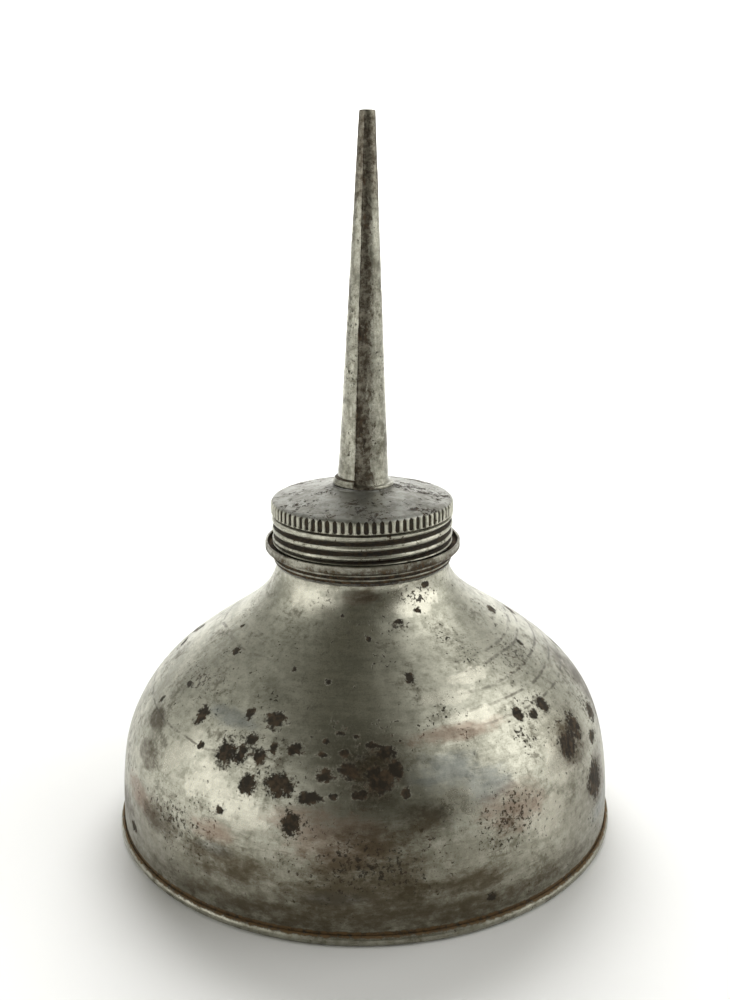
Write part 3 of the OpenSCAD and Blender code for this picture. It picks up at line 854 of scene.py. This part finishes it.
def make_spout():
    free = SEAM - 0.004
    turn = np.concatenate([[free - 0.012, free - 0.004, free + 0.004, free + 0.012],
                           free + np.linspace(0.03, 2 * pi - 0.03, 180)])
    section, foot_row, cone_row, last_out = spout_section()
    a = np.broadcast_to(turn, (len(section), len(turn)))
    r = np.repeat(section[:, :1], len(turn), 1)
    z = np.repeat(section[:, 1:], len(turn), 1)
    row = np.arange(len(section))[:, None] + 0 * a
    outside = (row < last_out) & (row > 0)
    foot = (row >= foot_row) & (row < cone_row)
    left = (free - a) % (2 * pi)
    sleeve = 1 - smooth(left, 1.7, 2.6)
    r = r + np.where(outside, lap_and_dents(r, a, z, left), 0)
    r = np.where(foot, foot_radius(z, sleeve), r)
    z = z + 0.14 * sleeve * (row < foot_row + 2)
    grid = on_spout_axis(np.stack([r * np.cos(a), r * np.sin(a), z], -1))
    piece = lathe("spout_tube_worn", grid)
    # How bare the steel is: most just right of the seam, least to the left of it
    right = np.degrees((a - free) % (2 * pi))
    seam = np.interp(right, [0, 8, 22, 60, 80, 110, 200, 290, 325, 357, 360],
                     [0.8, 0.9, 0.82, 0.28, 0.26, 0.42, 0.45, 0.08, 0.12, 0.36, 0.7])
    set_value(piece, "seam", seam * outside)
    # Rust: on the ledge, at the streak's lower end and under the foot
    on_ledge = 0.9 * bump(z, FOOT_Z + 1.36, SPOUT_Z - 0.02, 0.1) * sleeve
    streak_end = 0.72 * bump(z, SPOUT_Z - 0.5, SPOUT_Z + 1.3, 0.4) * bump(right, 2, 40, 12)
    under = bump(z, FOOT_Z - 0.1, FOOT_Z + 0.1, 0.08)
    low = np.maximum.reduce([on_ledge, streak_end, under, 0.35 * foot])
    set_value(piece, "low", low * outside)
    piece.data.materials.append(spout_material())
    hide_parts("spout_tube")
    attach(piece, "cap")


# ---------------------------------------------------------------- springs underneath


def make_bottom():
    disc_r, rim = DISC[1].x, DISC[0].z + 2.8
    line = np.array([(1.62, 0), (11, 0), (23, 0.07), (25, 0.32), (35, 0.39), (37, 0.64),
                     (44.5, 0.75), (46.5, 1), (disc_r, 1)])
    r = np.linspace(line[0, 0], disc_r, 150)
    drop = np.interp(r, line[:, 0], line[:, 1])
    soft = np.convolve(np.pad(drop, 4, "edge"), np.ones(9) / 9, "valid")
    under = np.stack([r, DISC[0].z + soft * (rim - DISC[0].z)], 1)
    section = np.vstack([under, (under + (0, SHEET))[::-1]])
    piece = lathe("bottom_disc_worn", turned(section, 240))
    piece.data.materials.append(plain_tin("worn_tin_bottom", (0.50, 0.49, 0.45),
                                          (0.30, 0.29, 0.26), 0.55))
    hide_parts("bottom_disc")
    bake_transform(piece)


def make_bow():
    """The strip, cut fine along its length so that it can bend."""
    low, high = BOW
    end_z = high.z - 0.5
    half = 48.0
    line = np.array([(0, low.z), (9, low.z), (half - 2, end_z), (half, end_z)])
    x = np.linspace(-half, half, 161)
    under = np.interp(np.abs(x), line[:, 0], line[:, 1])
    y = high.y * np.sqrt(np.clip(1 - (np.abs(x) / (half + 0.6)) ** 24, 0, 1))
    ring = np.stack([
        np.stack([x, side * (y - inner), under + lift], 1)
        for side, inner, lift in ((-1, 0, 0.06), (-1, 0.06, 0), (1, 0.06, 0), (1, 0, 0.06),
                                  (1, 0, 0.44), (1, 0.06, 0.5), (-1, 0.06, 0.5), (-1, 0, 0.44))])
    grid = np.transpose(ring, (1, 0, 2))[::-1]
    piece = lathe("bow_spring_worn", grid, closed=False)
    # Close its two ends
    around, count = len(ring), len(ring) * len(x)
    points = [tuple(v.co) for v in piece.data.vertices]
    faces = [tuple(p.vertices) for p in piece.data.polygons]
    faces += [tuple(range(around - 1, -1, -1)), tuple(range(count - around, count))]
    whole = bpy.data.meshes.new("bow_spring_worn")
    whole.from_pydata(points, [], faces)
    piece.data = whole
    piece.data.materials.append(plain_tin("spring_strip", (0.24, 0.25, 0.27),
                                          (0.12, 0.12, 0.12), 0.35))
    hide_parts("bow_spring")
    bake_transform(piece)


def dress_cad_nodes():
    """Small pieces whose CAD shape stays get their own worn materials."""
    solder = plain_tin("soft_solder", (0.40, 0.40, 0.39), (0.24, 0.23, 0.22), 0.75)
    plate = plain_tin("worn_tin_patch", (0.46, 0.45, 0.41), (0.28, 0.27, 0.24), 0.6)
    steel = plain_tin("dark_steel", (0.27, 0.27, 0.28), (0.14, 0.14, 0.14), 0.45)
    looks = {"rim_solder": solder, "collar_solder": solder, "neck_solder": solder,
             "patch_solder": solder, "spout_solder": solder, "thumb_patch": plate,
             "rivet_washer": plate, "spring_rivet": steel, "cap_gasket": leather_material()}
    for node, material in looks.items():
        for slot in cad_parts[node].material_slots:
            slot.material = material


# ---------------------------------------------------------------- studio


def make_backdrop():
    """A pale floor that curves up behind."""
    depth = [(-0.9, 0), (1.6, 0)] + [(1.6 + 0.9 * sin(a), 0.9 - 0.9 * cos(a))
                                     for a in np.radians(np.arange(6, 90, 6))] + [(2.5, 4.0)]
    points = [(x, y, z) for y, z in depth for x in (-4, 4)]
    faces = [(2 * k, 2 * k + 1, 2 * k + 3, 2 * k + 2) for k in range(len(depth) - 1)]
    mesh = bpy.data.meshes.new("backdrop")
    mesh.from_pydata(points, [], faces)
    mesh.shade_smooth()
    floor = link("backdrop", mesh)
    paper = bpy.data.materials.new("pale_paper")
    paper.use_nodes = True
    surface = paper.node_tree.nodes["Principled BSDF"]
    surface.inputs["Base Color"].default_value = (0.86, 0.86, 0.85, 1)
    surface.inputs["Roughness"].default_value = 0.9
    mesh.materials.append(paper)


def panel(name, place, size, power, aim=(0, 0, 0.05), spread=180):
    """A flat area light of that width and height in metres, and power in watts."""
    data = bpy.data.lights.new(name, "AREA")
    data.shape = "RECTANGLE"
    data.size, data.size_y = size
    data.energy = power
    data.spread = radians(spread)
    light = bpy.data.objects.new(name, data)
    light.location = place
    light.rotation_euler = (Vector(aim) - Vector(place)).to_track_quat("-Z", "Y").to_euler()
    bpy.context.scene.collection.objects.link(light)


def make_lights():
    """Soft light from both sides. The last two are for the floor and the backdrop
    and don't show in the tin's reflections."""
    panel("left_window", (-0.80, -0.42, 0.32), (1.1, 0.74), 1.75)
    panel("right_window", (0.88, -0.06, 0.62), (1.1, 1.05), 4.2)
    panel("back_light", (0.0, 1.25, 1.15), (1.4, 0.7), 7.5, aim=(0, 0.40, 0), spread=75)
    panel("backdrop_light", (0.0, 0.6, 1.9), (2.4, 0.6), 60, aim=(0, 2.4, 0.3), spread=120)
    for name in ("back_light", "backdrop_light"):
        bpy.data.objects[name].visible_glossy = False


def make_room():
    """What the tin reflects: bright behind and to both sides, dark in front and overhead."""
    world = bpy.data.worlds.new("studio")
    bpy.context.scene.world = world
    world.use_nodes = True
    tree = world.node_tree
    place = tree.nodes.new("ShaderNodeTexCoord").outputs["Generated"]

    def facing(direction, start, full):
        """0 to 1 as the view turns towards direction."""
        dot = tree.nodes.new("ShaderNodeVectorMath")
        dot.operation = "DOT_PRODUCT"
        dot.inputs[1].default_value = direction
        tree.links.new(place, dot.inputs[0])
        ease = tree.nodes.new("ShaderNodeMapRange")
        ease.interpolation_type = "SMOOTHSTEP"
        ease.inputs["From Min"].default_value = start
        ease.inputs["From Max"].default_value = full
        tree.links.new(dot.outputs["Value"], ease.inputs["Value"])
        return ease.outputs[0]

    def most(a, b):
        node = tree.nodes.new("ShaderNodeMath")
        node.operation = "MAXIMUM"
        tree.links.new(a, node.inputs[0])
        tree.links.new(b, node.inputs[1])
        return node.outputs[0]

    back = facing((0, 0.85, -0.5), -0.45, 0.6)
    sides = most(facing((-1, 0, 0.05), 0.35, 0.95), facing((0.88, 0.25, 0.40), 0.42, 0.85))
    glow = tree.nodes.new("ShaderNodeMix")
    glow.data_type = "RGBA"
    tree.links.new(most(back, sides), glow.inputs["Factor"])
    glow.inputs[6].default_value = (0.075, 0.070, 0.048, 1)
    glow.inputs[7].default_value = (0.84, 0.84, 0.80, 1)
    tree.links.new(glow.outputs[2], tree.nodes["Background"].inputs["Color"])


def make_camera():
    """Stands in front, a little above the spout, and looks down at the can."""
    data = bpy.data.cameras.new("camera")
    data.lens = 40.87
    data.sensor_width = 36
    data.clip_start = 0.01
    camera = bpy.data.objects.new("camera", data)
    turn = (Matrix.Rotation(radians(-0.15), 4, "Z") @ Matrix.Rotation(radians(90 - 15.03), 4, "X")
            @ Matrix.Rotation(radians(-0.47), 4, "Z"))
    camera.matrix_world = Matrix.Translation((0, -0.2186, 0.12446)) @ turn
    bpy.context.scene.collection.objects.link(camera)
    bpy.context.scene.camera = camera


make_camera()
make_backdrop()
make_lights()
make_room()
make_body()
make_collar()
make_neck()
make_cap()
make_spout()
make_bottom()
make_bow()
dress_cad_nodes()
bpy.context.scene.view_settings.view_transform = "Standard"

bpy.context.view_layer.update()
